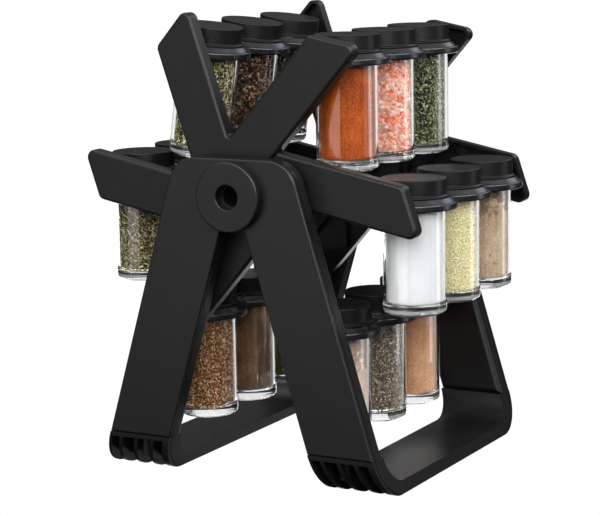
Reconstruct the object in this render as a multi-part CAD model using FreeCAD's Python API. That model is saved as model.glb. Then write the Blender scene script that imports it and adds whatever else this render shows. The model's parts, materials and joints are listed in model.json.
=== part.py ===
import FreeCAD, Part
import math
import os

# Spice carousel: a six-armed wheel on two A-frames carries six level trays of three jars.
# Millimetres. X right, Y from front to back along the axle, Z up. The origin is on the
# ground, under the middle of the axle.

# ---- driving dimensions: whole object ----
HUB_Z = 210.0            # height of the axle
FIRST_ARM_DEG = -11.5    # direction of the right-hand arm, seen from the front
ARM_STEP_DEG = 60.0
FRAME_FACE_Y = 121.0     # outer face of each frame cover
JAR_PITCH = 59.0         # distance between the jars of a tray
GROUND_GAP = 0.6         # the foot pads hold the base bars this far off the ground
MARGIN = 1.0             # cutting solids run this far past the faces they open
REACH = 300.0            # cutting solids that cross the whole object

# ---- frames ----
COVER_T = 3.6
GROOVE = 0.8             # shadow line between cover and shell
GROOVE_DEPTH = 1.6
SHELL_IN_Y = 104.5       # inner face of each frame shell
FRAME_TOP_Z = 236.3
SEAM_Z = 29.8            # bottom end of the legs
SEAM_GAP = 0.4
LEG_SLOPE = 0.301        # sideways run of a leg per millimetre of height
LEG_OUT_AT_HUB = 54.1    # half width over the legs, at the height of the axle
LEG_W = 51.5             # width of a leg along X
APEX_Z = 189.0           # top of the opening between the legs
TOP_R = 22.0
APEX_R = 5.0
SHELL_WALL = 2.6
COVER_EDGE_R = 1.1
SHELL_EDGE_R = 4.0       # wide rounded inner edge of the shell
HUB_BOSS_R = 25.0
HUB_OPENING_R = 15.5     # hole through the cover for the knob's spigot
LEG_FOOT_H = 16.0        # solid block at the bottom of each leg
TOP_SCREW_X = 32.0       # screws above the hub, where the wheel hides them
TOP_SCREW_Z = 224.0
PEG_HEIGHTS = (132.0, 62.0)   # pegs of the cover, pressed into posts of the shell
PEG_R = 2.2
PEG_L = 8.0
POST_R = 4.6

# ---- base bars ----
BAR_T = 8.6
BAR_OUT_R = 29.0
BAR_IN_R = 22.0
POCKET_SPANS = ((0.04, 0.17), (0.23, 0.425), (0.485, 0.69), (0.75, 0.90))   # shares of a leg's width, from the left
POCKET_TOP_Z = 26.0
SIDE_GROOVE = 0.9        # depth of the shadow line on the bar's sides
SKIN_T = 2.6
BOSS_R = 4.6
BOSS_BOTTOM_Z = 12.5
BASE_SCREW_Y = 110.6
PAD_Y = 62.0
PAD_R = 8.0
PAD_T = 1.8

# ---- wheel ----
ARM_L = 140.0            # radial edge of an arm, from the hub centre
ARM_W = 35.0
PLATE_OUT_Y = 102.6
PLATE_T = 10.0
PLATE_SKIN = 3.0
PLATE_WALL = 2.4
PLATE_EDGE_R = 2.4
PLATE_CORNER_R = 6.0
NOTCH_R = 2.0            # inner corner between the two arms of a plate
SPIDER_GAP = 0.15        # half of the seam between two plates
RIB_THIN = 1.6
HUB_SOLID_R = 34.0
PIVOT_R = 111.1          # pivot, measured along the arm from the hub centre
PIN_R = 3.0
PIN_FIT = 0.05
PIN_DEPTH = 6.6          # depth of a pin socket in an arm
PIN_END_GAP = 0.4
PIN_CHAMFER = 0.5
PIN_BOSS_R = 6.5
AXLE_R = 11.0
AXLE_END_Y = 120.0
AXLE_BORE_R = 7.25
AXLE_BORE_DEPTH = 22.0
KNOB_R = 25.0
KNOB_FACE_Y = 128.0
KNOB_HOLE_R = 8.75
KNOB_EDGE_R = 1.3
KNOB_HOLE_EDGE_R = 0.8
KNOB_GAP = 0.4           # between the knob and the cover behind it
SPIGOT_R = 14.5
SPIGOT_IN_Y = 113.2
BUSH_R = 17.0
BUSH_FIT = 0.05
BUSH_END_Y = 112.6
FLANGE_R = 20.0
FLANGE_T = 1.2
HUB_RING_R = 30.0
HUB_RING_T = 6.0
HUB_RING_EDGE_R = 1.5
HUB_SCREW_R = 21.5       # circle of the hub screws
HUB_SCREW_DEPTH = 6.5

# ---- screws ----
SCREW_R = 1.5
SCREW_HOLE_R = 1.6
HEAD_R = 3.0
HEAD_H = 2.0
HEAD_ROOM = 0.3          # space round and over a screw head
SLOT_W = 0.8
SLOT_DEPTH = 0.9
THREAD_END = 1.8         # solid cover left in front of a frame screw

# ---- trays and jars, heights measured from the pivot ----
TRAY_BOTTOM = -5.0
TRAY_T = 5.0
LOBE_R = 30.6
CUSP_R = 6.0
TRAY_EDGE_R = 1.2
COLLAR_TOP = 2.9
COLLAR_BASE_R = 28.2
COLLAR_TOP_R = 25.6
TRAY_HOLE_R = 23.0
TRAY_BOSS_R = 5.0
TRAY_END_Y = 92.0
TRAY_BOSS_IN_Y = 84.4    # clear of the lid rims
SOCKET_DEPTH = 6.4
JAR_R = 22.5
JAR_BOTTOM = -80.1
JAR_BASE_T = 6.5
JAR_WALL = 2.3
JAR_EDGE_R = 2.5
SHOULDER = 0.6
NECK_R = 20.0
NECK_TOP = 13.6
NECK_WALL = 2.2
LID_R = 23.2
LID_BOTTOM = 3.2
LID_TOP = 16.4
LID_CEILING = 14.3
LID_BORE_R = 20.5
LID_RIM_R = 24.6
LID_RIM_T = 1.3
LID_EDGE_R = 1.4
FILL_GAP = 0.2
FILL_TOP = -6.5
TRAY_A_TILT_DEG = 8.0    # the top left tray hangs this much off level


def vec(x, y, z):
    return FreeCAD.Vector(x, y, z)


def save(shape, name):
    shape.exportStep("parts/" + name + ".step")


def rounded_wire(corners, y):
    """Closed wire in the plane Y = y. Each corner is (x, z, radius)."""
    edges = []
    first = None
    last = None
    count = len(corners)
    for i in range(count):
        x, z, radius = corners[i]
        px, pz, _ = corners[i - 1]
        nx, nz, _ = corners[(i + 1) % count]
        to_prev = vec(px - x, 0, pz - z).normalize()
        to_next = vec(nx - x, 0, nz - z).normalize()
        here = vec(x, y, z)
        if radius > 0:
            half = to_prev.getAngle(to_next) / 2
            back = radius / math.tan(half)
            start = here + to_prev * back
            end = here + to_next * back
            centre = here + (to_prev + to_next).normalize() * (radius / math.sin(half))
            middle = centre + (here - centre).normalize() * radius
        else:
            start = here
            end = here
        if last is not None and (start - last).Length > 1e-6:
            edges.append(Part.LineSegment(last, start).toShape())
        if radius > 0:
            edges.append(Part.Arc(start, middle, end).toShape())
        if first is None:
            first = start
        last = end
    edges.append(Part.LineSegment(last, first).toShape())
    return Part.Wire(edges)


def plate(corners, y0, y1, inset=0.0):
    """Flat plate with a rounded outline, from y0 to y1."""
    wire = rounded_wire(corners, y0)
    if inset:
        wire = wire.makeOffset2D(-inset, 0, False, False, True)
    return Part.Face(wire).extrude(vec(0, y1 - y0, 0))


def rod(radius, y0, y1, x=0.0, z=0.0):
    return Part.makeCylinder(radius, y1 - y0, vec(x, y0, z), vec(0, 1, 0))


def upright(radius, z0, z1, x=0.0, y=0.0):
    return Part.makeCylinder(radius, z1 - z0, vec(x, y, z0))


def to_back(shape):
    """The matching piece at the back: a mirror image in the plane Y = 0."""
    return shape.mirror(vec(0, 0, 0), vec(0, 1, 0))


def edges_at_y(shape, y):
    return [e for e in shape.Edges if abs(e.BoundBox.YMin - y) < 1e-4 and abs(e.BoundBox.YMax - y) < 1e-4]


# ---- places worked out from the dimensions ----
COVER_BACK_Y = FRAME_FACE_Y - COVER_T
SHELL_OUT_Y = COVER_BACK_Y - GROOVE
PLATE_IN_Y = PLATE_OUT_Y - PLATE_T
BAR_TOP_Z = SEAM_Z - SEAM_GAP
RIB_ARC_Y = -FRAME_FACE_Y + BAR_OUT_R
RIB_ARC_Z = GROUND_GAP + BAR_OUT_R
SKIN_ARC_Y = -SHELL_IN_Y + BAR_IN_R
SKIN_ARC_Z = GROUND_GAP + BAR_T + BAR_IN_R
DIAG = math.sqrt(0.5)
NOTCH = ARM_W / math.sin(math.radians(ARM_STEP_DEG))
TIP_CUT = ARM_W / math.tan(math.radians(ARM_STEP_DEG))
JAR_YS = (-JAR_PITCH, 0.0, JAR_PITCH)
JAR_PLACES = {"front": JAR_YS[0], "middle": JAR_YS[1], "rear": JAR_YS[2]}
PLATE_ARMS = {"top": 1, "left": 3, "right": 5}      # first arm of each V plate
TRAY_ARMS = {"right": 0, "top_right": 1, "top_left": 2, "left": 3, "lower_left": 4, "lower_right": 5}


def leg_out(z):
    return LEG_OUT_AT_HUB + LEG_SLOPE * (HUB_Z - z)


def leg_in(z):
    return leg_out(z) - LEG_W


# ---------------------------------------------------------------- frames

def frame_corners():
    top = leg_out(FRAME_TOP_Z)
    return [(-leg_out(SEAM_Z), SEAM_Z, 0), (-top, FRAME_TOP_Z, TOP_R), (top, FRAME_TOP_Z, TOP_R),
            (leg_out(SEAM_Z), SEAM_Z, 0), (leg_in(SEAM_Z), SEAM_Z, 0), (leg_in(APEX_Z), APEX_Z, APEX_R),
            (-leg_in(APEX_Z), APEX_Z, APEX_R), (-leg_in(SEAM_Z), SEAM_Z, 0)]


def leg_axis(z):
    return leg_out(z) - LEG_W / 2


def frame_screw_places():
    return [(-TOP_SCREW_X, TOP_SCREW_Z), (TOP_SCREW_X, TOP_SCREW_Z)]


def frame_peg_places():
    places = []
    for z in PEG_HEIGHTS:
        places.append((-leg_axis(z), z))
        places.append((leg_axis(z), z))
    return places


def frame_cover():
    """Outer face of a frame, with the lip that makes the shadow line and four blind pegs."""
    front = -FRAME_FACE_Y
    body = plate(frame_corners(), front, -COVER_BACK_Y)
    body = body.makeFillet(COVER_EDGE_R, edges_at_y(body, front))
    lip = plate(frame_corners(), -COVER_BACK_Y, -SHELL_OUT_Y, GROOVE_DEPTH)
    body = body.fuse(lip)
    body = body.cut(rod(HUB_OPENING_R, front - MARGIN, -SHELL_OUT_Y + MARGIN, 0, HUB_Z))
    for x, z in frame_peg_places():
        body = body.fuse(rod(PEG_R, -COVER_BACK_Y, -COVER_BACK_Y + PEG_L, x, z))
    for x, z in frame_screw_places():
        body = body.cut(rod(SCREW_HOLE_R, front + THREAD_END - PIN_END_GAP, -SHELL_OUT_Y + MARGIN, x, z))
    return body.removeSplitter()


def frame_shell():
    """Hollow inner half of a frame: bush seat, solid feet, screw posts and peg posts."""
    body = plate(frame_corners(), -SHELL_OUT_Y, -SHELL_IN_Y)
    body = body.makeFillet(SHELL_EDGE_R, edges_at_y(body, -SHELL_IN_Y))
    hollow = plate(frame_corners(), -SHELL_OUT_Y - MARGIN, -SHELL_IN_Y - SHELL_WALL, SHELL_WALL + GROOVE_DEPTH)
    keep = [rod(HUB_BOSS_R, -SHELL_OUT_Y, -SHELL_IN_Y - SHELL_WALL, 0, HUB_Z)]
    foot_top = SEAM_Z + LEG_FOOT_H
    for side in (-1, 1):
        foot = Part.makeBox(2 * LEG_W, SHELL_OUT_Y - SHELL_IN_Y, LEG_FOOT_H,
                            vec(side * leg_axis(foot_top) - LEG_W, -SHELL_OUT_Y, SEAM_Z))
        keep.append(foot)
    for x, z in frame_screw_places() + frame_peg_places():
        keep.append(rod(POST_R, -SHELL_OUT_Y, -SHELL_IN_Y - SHELL_WALL, x, z))
    for solid in keep:
        hollow = hollow.cut(solid)
    body = body.cut(hollow)
    body = body.cut(rod(BUSH_R, -BUSH_END_Y, -SHELL_IN_Y + MARGIN, 0, HUB_Z))
    body = body.cut(rod(HUB_OPENING_R, -SHELL_OUT_Y - MARGIN, -BUSH_END_Y, 0, HUB_Z))
    for x, z in frame_screw_places():
        body = body.cut(rod(SCREW_HOLE_R, -SHELL_OUT_Y - MARGIN, -SHELL_IN_Y + MARGIN, x, z))
        body = body.cut(rod(HEAD_R + HEAD_ROOM, -SHELL_IN_Y - HEAD_H - PIN_END_GAP, -SHELL_IN_Y + MARGIN, x, z))
    for x, z in frame_peg_places():
        body = body.cut(rod(PEG_R + PIN_FIT, -SHELL_OUT_Y - MARGIN, -COVER_BACK_Y + PEG_L + PIN_END_GAP, x, z))
    for side in (-1, 1):
        x = side * leg_axis(SEAM_Z)
        body = body.cut(upright(SCREW_HOLE_R, SEAM_Z - MARGIN, foot_top - 2 * MARGIN, x, -BASE_SCREW_Y))
    return body


def frame_screws():
    """Pan-head screws through the shell posts into the cover, both frames."""
    solids = []
    for x, z in frame_screw_places():
        outer = -SHELL_IN_Y - PIN_END_GAP
        shank = rod(SCREW_R, -FRAME_FACE_Y + THREAD_END, outer - HEAD_H / 2, x, z)
        head = rod(HEAD_R, outer - HEAD_H, outer, x, z)
        slot = Part.makeBox(2 * HEAD_R, SLOT_DEPTH, SLOT_W, vec(x - HEAD_R, outer - SLOT_DEPTH, z - SLOT_W / 2))
        screw = shank.fuse(head).cut(slot)
        solids.append(screw)
        solids.append(to_back(screw))
    return Part.makeCompound(solids)


def axle_bush():
    """Flanged plain bush, pressed into the shell; the flange keeps the wheel off the frame."""
    sleeve = rod(BUSH_R, -BUSH_END_Y, -SHELL_IN_Y, 0, HUB_Z)
    flange = rod(FLANGE_R, -SHELL_IN_Y, -SHELL_IN_Y + FLANGE_T, 0, HUB_Z)
    bore = rod(AXLE_R + BUSH_FIT, -BUSH_END_Y - MARGIN, -SHELL_IN_Y + FLANGE_T + MARGIN, 0, HUB_Z)
    return sleeve.fuse(flange).cut(bore)


# ---------------------------------------------------------------- base bars

def bar_side():
    """Half of the bar in the YZ plane, from its front end to Y = 0."""
    top_z = SKIN_ARC_Z + MARGIN
    outer_mid = vec(0, RIB_ARC_Y - BAR_OUT_R * DIAG, RIB_ARC_Z - BAR_OUT_R * DIAG)
    inner_mid = vec(0, SKIN_ARC_Y - BAR_IN_R * DIAG, SKIN_ARC_Z - BAR_IN_R * DIAG)
    outer = [vec(0, -FRAME_FACE_Y, RIB_ARC_Z), outer_mid, vec(0, RIB_ARC_Y, GROUND_GAP)]
    inner = [vec(0, SKIN_ARC_Y, GROUND_GAP + BAR_T), inner_mid, vec(0, -SHELL_IN_Y, SKIN_ARC_Z)]
    flat = [outer[2], vec(0, 0, GROUND_GAP), vec(0, 0, GROUND_GAP + BAR_T), inner[0]]
    end = [inner[2], vec(0, -SHELL_IN_Y, top_z), vec(0, -FRAME_FACE_Y, top_z), outer[0]]
    edges = [Part.Arc(*outer).toShape()]
    edges += [Part.LineSegment(flat[i], flat[i + 1]).toShape() for i in range(3)]
    edges.append(Part.Arc(*inner).toShape())
    edges += [Part.LineSegment(end[i], end[i + 1]).toShape() for i in range(3)]
    return Part.Face(Part.Wire(edges))


def leg_slab(inset_in=0.0, inset_out=0.0, z0=-MARGIN, z1=BAR_TOP_Z):
    """The right leg's slanted width, from front to back, between two heights."""
    points = [(leg_in(z0) + inset_in, z0), (leg_out(z0) - inset_out, z0),
              (leg_out(z1) - inset_out, z1), (leg_in(z1) + inset_in, z1)]
    wire = Part.makePolygon([vec(x, -REACH / 2, z) for x, z in points + points[:1]])
    return Part.Face(wire).extrude(vec(0, REACH, 0))


def block(y0, y1, z0, z1):
    """Box over the whole right half, between two depths and two heights."""
    return Part.makeBox(REACH, y1 - y0, z1 - z0, vec(0, y0, z0))


def bar_pockets(spans):
    """Open pockets between the ribs, down to the smooth inner skin."""
    room = block(-FRAME_FACE_Y - MARGIN, SKIN_ARC_Y, -MARGIN, POCKET_TOP_Z)
    room = room.cut(Part.makeCylinder(BAR_IN_R + SKIN_T, REACH, vec(0, SKIN_ARC_Y, SKIN_ARC_Z), vec(1, 0, 0)))
    room = room.cut(block(-SHELL_IN_Y + SKIN_T, SKIN_ARC_Y, SKIN_ARC_Z - BAR_IN_R, SKIN_ARC_Z))
    boss = upright(BOSS_R, BOSS_BOTTOM_Z, BAR_TOP_Z, leg_axis(SEAM_Z), -BASE_SCREW_Y)
    pockets = []
    for start, end in spans:
        pocket = room.common(leg_slab(start * LEG_W, (1 - end) * LEG_W))
        pockets.append(pocket.cut(boss))
    return pockets


def side_groove():
    """Shadow line on the bar's sides, in line with the groove between cover and shell."""
    y = -COVER_BACK_Y
    arc = Part.makeCylinder(BAR_OUT_R, REACH, vec(0, y + BAR_OUT_R, RIB_ARC_Z), vec(1, 0, 0))
    arc = arc.cut(Part.makeCylinder(BAR_OUT_R - GROOVE, REACH, vec(0, y + BAR_OUT_R, RIB_ARC_Z), vec(1, 0, 0)))
    arc = arc.common(block(y, y + BAR_OUT_R, RIB_ARC_Z - BAR_OUT_R, RIB_ARC_Z))
    arc = arc.fuse(block(y, y + GROOVE, RIB_ARC_Z, RIB_ARC_Z + BAR_T))
    return arc.cut(leg_slab(SIDE_GROOVE, SIDE_GROOVE, -2 * MARGIN, BAR_TOP_Z + BAR_T))


def base_bar(spans):
    """The right bar, with its pockets at the given shares of the leg's width from the inner side."""
    half = bar_side().extrude(vec(REACH, 0, 0)).common(leg_slab())
    for pocket in bar_pockets(spans):
        half = half.cut(pocket)
    half = half.cut(side_groove())
    x = leg_axis(SEAM_Z)
    half = half.cut(upright(SCREW_HOLE_R, 0, BAR_TOP_Z + MARGIN, x, -BASE_SCREW_Y))
    half = half.cut(upright(HEAD_R + HEAD_ROOM, 0, BOSS_BOTTOM_Z + HEAD_H, x, -BASE_SCREW_Y))
    half = half.cut(upright(PAD_R, -MARGIN, PAD_T, leg_axis(0), -PAD_Y))
    return half.fuse(to_back(half)).removeSplitter()


def to_left(shape):
    return shape.mirror(vec(0, 0, 0), vec(1, 0, 0))


def foot_pads(side):
    front = upright(PAD_R, 0, PAD_T, side * leg_axis(0), -PAD_Y)
    return Part.makeCompound([front, to_back(front)])


def base_screws():
    """Upright screws from the base bars into the feet of the legs."""
    solids = []
    for side in (-1, 1):
        x = side * leg_axis(SEAM_Z)
        seat = BOSS_BOTTOM_Z + HEAD_H
        shank = upright(SCREW_R, seat - HEAD_H / 2, SEAM_Z + LEG_FOOT_H - 3 * MARGIN, x, -BASE_SCREW_Y)
        head = upright(HEAD_R, seat - HEAD_H, seat, x, -BASE_SCREW_Y)
        screw = shank.fuse(head)
        solids.append(screw)
        solids.append(to_back(screw))
    return Part.makeCompound(solids)


# ---------------------------------------------------------------- wheel

def polar(angle_deg, radius):
    a = math.radians(angle_deg)
    return radius * math.cos(a), radius * math.sin(a)


def arm_point(arm, along, across):
    """Point in an arm's own axes: along its radial edge, and across it."""
    angle = FIRST_ARM_DEG + ARM_STEP_DEG * arm
    ux, uz = polar(angle, 1.0)
    return along * ux - across * uz, HUB_Z + along * uz + across * ux


def pivot(arm):
    return arm_point(arm, PIVOT_R, ARM_W / 2)


def vee_corners(arm):
    """Outline of the V plate that holds arms arm and arm + 1."""
    corners = [(0.0, HUB_Z, 0)]
    for a in (arm, arm + 1):
        x, z = arm_point(a, ARM_L, 0)
        corners.append((x, z, PLATE_CORNER_R))
        x, z = arm_point(a, ARM_L - TIP_CUT, ARM_W)
        corners.append((x, z, PLATE_CORNER_R))
        x, z = arm_point(a + 1, NOTCH, 0)
        corners.append((x, z, NOTCH_R if a == arm else 0))
    return corners


def hub_screw_places(arm):
    middle = FIRST_ARM_DEG + ARM_STEP_DEG * (arm + 1)
    return [polar(middle + turn, HUB_SCREW_R) for turn in (-ARM_STEP_DEG / 2, ARM_STEP_DEG / 2)]


def spider_plate(arm):
    """Two-armed plate: smooth outside, ribbed hollow inside, with two blind pin sockets."""
    out_y = -PLATE_OUT_Y
    in_y = -PLATE_IN_Y
    body = plate(vee_corners(arm), out_y, in_y, SPIDER_GAP)
    body = body.makeFillet(PLATE_EDGE_R, edges_at_y(body, out_y))
    hollow = plate(vee_corners(arm), out_y + PLATE_SKIN, in_y + MARGIN, SPIDER_GAP + PLATE_WALL)
    keep = [rod(HUB_SOLID_R, out_y, in_y, 0, HUB_Z)]
    for a in (arm, arm + 1):
        x, z = pivot(a)
        keep.append(rod(PIN_BOSS_R, out_y, in_y, x, z))
        keep.extend(arm_ribs(a, out_y + PLATE_SKIN - MARGIN, in_y - RIB_THIN))
    for solid in keep:
        hollow = hollow.cut(solid)
    body = body.cut(hollow)
    body = body.cut(rod(AXLE_R, out_y - MARGIN, in_y + MARGIN, 0, HUB_Z))
    for a in (arm, arm + 1):
        x, z = pivot(a)
        body = body.cut(rod(PIN_R + PIN_FIT, in_y - PIN_DEPTH, in_y + MARGIN, x, z))
    for x, z in hub_screw_places(arm):
        body = body.cut(rod(SCREW_HOLE_R, in_y - HUB_SCREW_DEPTH, in_y + MARGIN, x, HUB_Z + z))
    return body


def arm_ribs(arm, y0, y1):
    """Diagonal stiffening ribs inside one arm."""
    ribs = []
    starts = [HUB_SOLID_R + 2 + i * (ARM_W - 6) for i in range(3)]
    for i, start in enumerate(starts):
        low, high = (0.0, ARM_W) if i % 2 == 0 else (ARM_W, 0.0)
        ax, az = arm_point(arm, start, low)
        bx, bz = arm_point(arm, start + ARM_W, high)
        length = math.hypot(bx - ax, bz - az)
        nx, nz = -(bz - az) / length * RIB_THIN / 2, (bx - ax) / length * RIB_THIN / 2
        points = [(ax + nx, az + nz), (bx + nx, bz + nz), (bx - nx, bz - nz), (ax - nx, az - nz)]
        wire = Part.makePolygon([vec(x, y0, z) for x, z in points + points[:1]])
        ribs.append(Part.Face(wire).extrude(vec(0, y1 - y0, 0)))
    return ribs


def hub_ring():
    """Clamp ring on the inner side of a spider, which holds its three V plates together."""
    start = -PLATE_IN_Y
    end = start + HUB_RING_T
    ring = rod(HUB_RING_R, start, end, 0, HUB_Z)
    ring = ring.makeFillet(HUB_RING_EDGE_R, edges_at_y(ring, end))
    ring = ring.cut(rod(AXLE_R, start - MARGIN, end + MARGIN, 0, HUB_Z))
    for arm in PLATE_ARMS.values():
        for x, z in hub_screw_places(arm):
            ring = ring.cut(rod(SCREW_HOLE_R, start - MARGIN, end + MARGIN, x, HUB_Z + z))
    return ring


def hub_screws():
    ring_top = -PLATE_IN_Y + HUB_RING_T
    solids = []
    for arm in PLATE_ARMS.values():
        for x, z in hub_screw_places(arm):
            shank = rod(SCREW_R, -PLATE_IN_Y - HUB_SCREW_DEPTH + HEAD_ROOM, ring_top, x, HUB_Z + z)
            head = rod(HEAD_R, ring_top, ring_top + HEAD_H, x, HUB_Z + z)
            screw = shank.fuse(head)
            solids.append(screw)
            solids.append(to_back(screw))
    return Part.makeCompound(solids)


def axle():
    shaft = rod(AXLE_R, -AXLE_END_Y, AXLE_END_Y, 0, HUB_Z)
    bore = rod(AXLE_BORE_R, -AXLE_END_Y - MARGIN, -AXLE_END_Y + AXLE_BORE_DEPTH, 0, HUB_Z)
    return shaft.cut(bore).cut(to_back(bore))


def hub_knob():
    """Round boss with a stepped hole; its spigot is pressed over the end of the axle."""
    disc_in = -FRAME_FACE_Y - KNOB_GAP
    disc = rod(KNOB_R, -KNOB_FACE_Y, disc_in, 0, HUB_Z)
    disc = disc.makeFillet(KNOB_EDGE_R, edges_at_y(disc, -KNOB_FACE_Y))
    knob = disc.fuse(rod(SPIGOT_R, disc_in, -SPIGOT_IN_Y, 0, HUB_Z))
    knob = knob.cut(rod(AXLE_R, -AXLE_END_Y, -SPIGOT_IN_Y + MARGIN, 0, HUB_Z))
    knob = knob.cut(rod(KNOB_HOLE_R, -KNOB_FACE_Y - MARGIN, -AXLE_END_Y + MARGIN, 0, HUB_Z))
    rim = [e for e in edges_at_y(knob, -KNOB_FACE_Y) if e.BoundBox.XMax < AXLE_R]
    return knob.makeFillet(KNOB_HOLE_EDGE_R, rim)


# ---------------------------------------------------------------- trays and jars

def tray_outline_face(z):
    """Three round lobes in a row along Y, joined by small hollow curves."""
    half = JAR_PITCH / 2
    reach = LOBE_R + CUSP_R
    cusp_x = math.sqrt(reach ** 2 - half ** 2)
    touch_x = cusp_x * LOBE_R / reach
    touch_y = half * (1 - CUSP_R / reach)
    edges = []
    for side in (1, -1):
        for step in range(3):
            centre_y = side * (step - 1) * JAR_PITCH
            # lobe arc on this side, from its start to its end
            if step == 0:
                a = vec(0, centre_y - side * LOBE_R, z)
            else:
                a = vec(side * touch_x, centre_y - side * touch_y, z)
            if step == 2:
                b = vec(0, centre_y + side * LOBE_R, z)
            else:
                b = vec(side * touch_x, centre_y + side * touch_y, z)
            start = math.atan2(side * (a.y - centre_y), side * a.x)
            end = math.atan2(side * (b.y - centre_y), side * b.x)
            mid = (start + end) / 2
            middle = vec(side * LOBE_R * math.cos(mid), centre_y + side * LOBE_R * math.sin(mid), z)
            edges.append(Part.Arc(a, middle, b).toShape())
            if step < 2:
                cusp = vec(side * (cusp_x - CUSP_R), centre_y + side * half, z)
                following = vec(side * touch_x, centre_y + side * (JAR_PITCH - touch_y), z)
                edges.append(Part.Arc(b, cusp, following).toShape())
    return Part.Face(Part.Wire(edges))


def tray():
    top = TRAY_BOTTOM + TRAY_T
    body = tray_outline_face(TRAY_BOTTOM).extrude(vec(0, 0, TRAY_T))
    rims = [e for e in body.Edges if e.BoundBox.ZLength < 1e-4]
    body = body.makeFillet(TRAY_EDGE_R, rims)
    for y in JAR_YS:
        cone = Part.makeCone(COLLAR_BASE_R, COLLAR_TOP_R, COLLAR_TOP - top, vec(0, y, top))
        body = body.fuse(cone)
    for side in (-1, 1):
        y0, y1 = sorted((side * TRAY_END_Y, side * TRAY_BOSS_IN_Y))
        body = body.fuse(rod(TRAY_BOSS_R, y0, y1))
    for y in JAR_YS:
        body = body.cut(upright(TRAY_HOLE_R, TRAY_BOTTOM - MARGIN, COLLAR_TOP + MARGIN, 0, y))
    for side in (-1, 1):
        y0, y1 = sorted((side * (TRAY_END_Y + MARGIN), side * (TRAY_END_Y - SOCKET_DEPTH)))
        body = body.cut(rod(PIN_R + PIN_FIT, y0, y1))
    return body.removeSplitter()


def tray_pins():
    """The front and rear pins of one tray."""
    inner = TRAY_END_Y - SOCKET_DEPTH + PIN_END_GAP
    outer = PLATE_IN_Y + PIN_DEPTH - PIN_END_GAP
    pin = rod(PIN_R, -outer, -inner)
    pin = pin.makeChamfer(PIN_CHAMFER, edges_at_y(pin, -outer) + edges_at_y(pin, -inner))
    return Part.makeCompound([pin, to_back(pin)])


def revolved(points, y):
    """Solid of revolution about the jar's upright axis; points are (radius, height)."""
    wire = Part.makePolygon([vec(r, 0, z) for r, z in points + points[:1]])
    solid = Part.Face(wire).revolve(vec(0, 0, 0), vec(0, 0, 1), 360)
    return solid.translated(vec(0, y, 0))


def jar_glass(y):
    inner_r = JAR_R - JAR_WALL
    neck_in = NECK_R - NECK_WALL
    slope = JAR_R - NECK_R
    points = [(0, JAR_BOTTOM + 0.8), (JAR_R - 6, JAR_BOTTOM + 0.8), (JAR_R - 5, JAR_BOTTOM),
              (JAR_R - JAR_EDGE_R, JAR_BOTTOM), (JAR_R - 0.7, JAR_BOTTOM + 0.8),
              (JAR_R, JAR_BOTTOM + JAR_EDGE_R),
              (JAR_R, SHOULDER - slope), (NECK_R, SHOULDER), (NECK_R, NECK_TOP), (neck_in, NECK_TOP),
              (neck_in, SHOULDER - 1.5), (inner_r, SHOULDER - 1.5 - slope),
              (inner_r, JAR_BOTTOM + JAR_BASE_T + 3), (inner_r - 3, JAR_BOTTOM + JAR_BASE_T),
              (0, JAR_BOTTOM + JAR_BASE_T - 0.6)]
    return revolved(points, y)


def jar_lid(y):
    points = [(0, LID_CEILING), (LID_BORE_R, LID_CEILING), (LID_BORE_R, LID_BOTTOM), (LID_RIM_R, LID_BOTTOM),
              (LID_RIM_R, LID_BOTTOM + 0.7), (LID_R, LID_BOTTOM + LID_RIM_T + 0.5),
              (LID_R, LID_TOP - LID_EDGE_R), (LID_R - 0.4, LID_TOP - 0.4), (LID_R - LID_EDGE_R, LID_TOP),
              (0, LID_TOP)]
    return revolved(points, y)


def jar_fill(y):
    radius = JAR_R - JAR_WALL - FILL_GAP
    floor = JAR_BOTTOM + JAR_BASE_T + 0.3
    points = [(0, floor), (radius - 3.2, floor), (radius, floor + 3.2), (radius, FILL_TOP), (0, FILL_TOP)]
    return revolved(points, y)


def hung(shape, arm, tilt=0.0):
    """Carry a piece, modelled about its tray's pivot, to that arm's pivot."""
    x, z = pivot(arm)
    moved = shape.copy()
    if tilt:
        moved.rotate(vec(0, 0, 0), vec(0, 1, 0), tilt)
    moved.translate(vec(x, 0, z))
    return moved


def build_stand():
    cover = frame_cover()
    shell = frame_shell()
    bush = axle_bush()
    save(cover, "front_frame_cover")
    save(to_back(cover), "rear_frame_cover")
    save(shell, "front_frame_shell")
    save(to_back(shell), "rear_frame_shell")
    save(bush, "front_axle_bush")
    save(to_back(bush), "rear_axle_bush")
    save(base_bar(POCKET_SPANS), "right_base_bar")
    save(to_left(base_bar([(1 - end, 1 - start) for start, end in POCKET_SPANS])), "left_base_bar")
    save(foot_pads(1), "right_foot_pads")
    save(foot_pads(-1), "left_foot_pads")
    save(frame_screws(), "frame_screws")
    save(base_screws(), "base_screws")


def build_wheel():
    for name, arm in PLATE_ARMS.items():
        vee = spider_plate(arm)
        save(vee, "front_spider_" + name)
        save(to_back(vee), "rear_spider_" + name)
    ring = hub_ring()
    knob = hub_knob()
    save(ring, "front_hub_ring")
    save(to_back(ring), "rear_hub_ring")
    save(knob, "front_hub_knob")
    save(to_back(knob), "rear_hub_knob")
    save(hub_screws(), "hub_screws")
    save(axle(), "axle_shaft")


def build_trays():
    tray_shape = tray()
    pins = tray_pins()
    for name, arm in TRAY_ARMS.items():
        tilt = TRAY_A_TILT_DEG if name == "top_left" else 0.0
        save(hung(tray_shape, arm, tilt), name + "_tray")
        save(hung(pins, arm), name + "_tray_pins")
        makers = {"glass": jar_glass, "lid": jar_lid, "fill": jar_fill}
        if name == "top_right":
            for place, y in JAR_PLACES.items():
                for kind, make in makers.items():
                    save(hung(make(y), arm), name + "_" + place + "_jar_" + kind)
        else:
            for kind, make in makers.items():
                group = Part.makeCompound([hung(make(y), arm, tilt) for y in JAR_YS])
                save(group, name + "_jars_" + kind)


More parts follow.
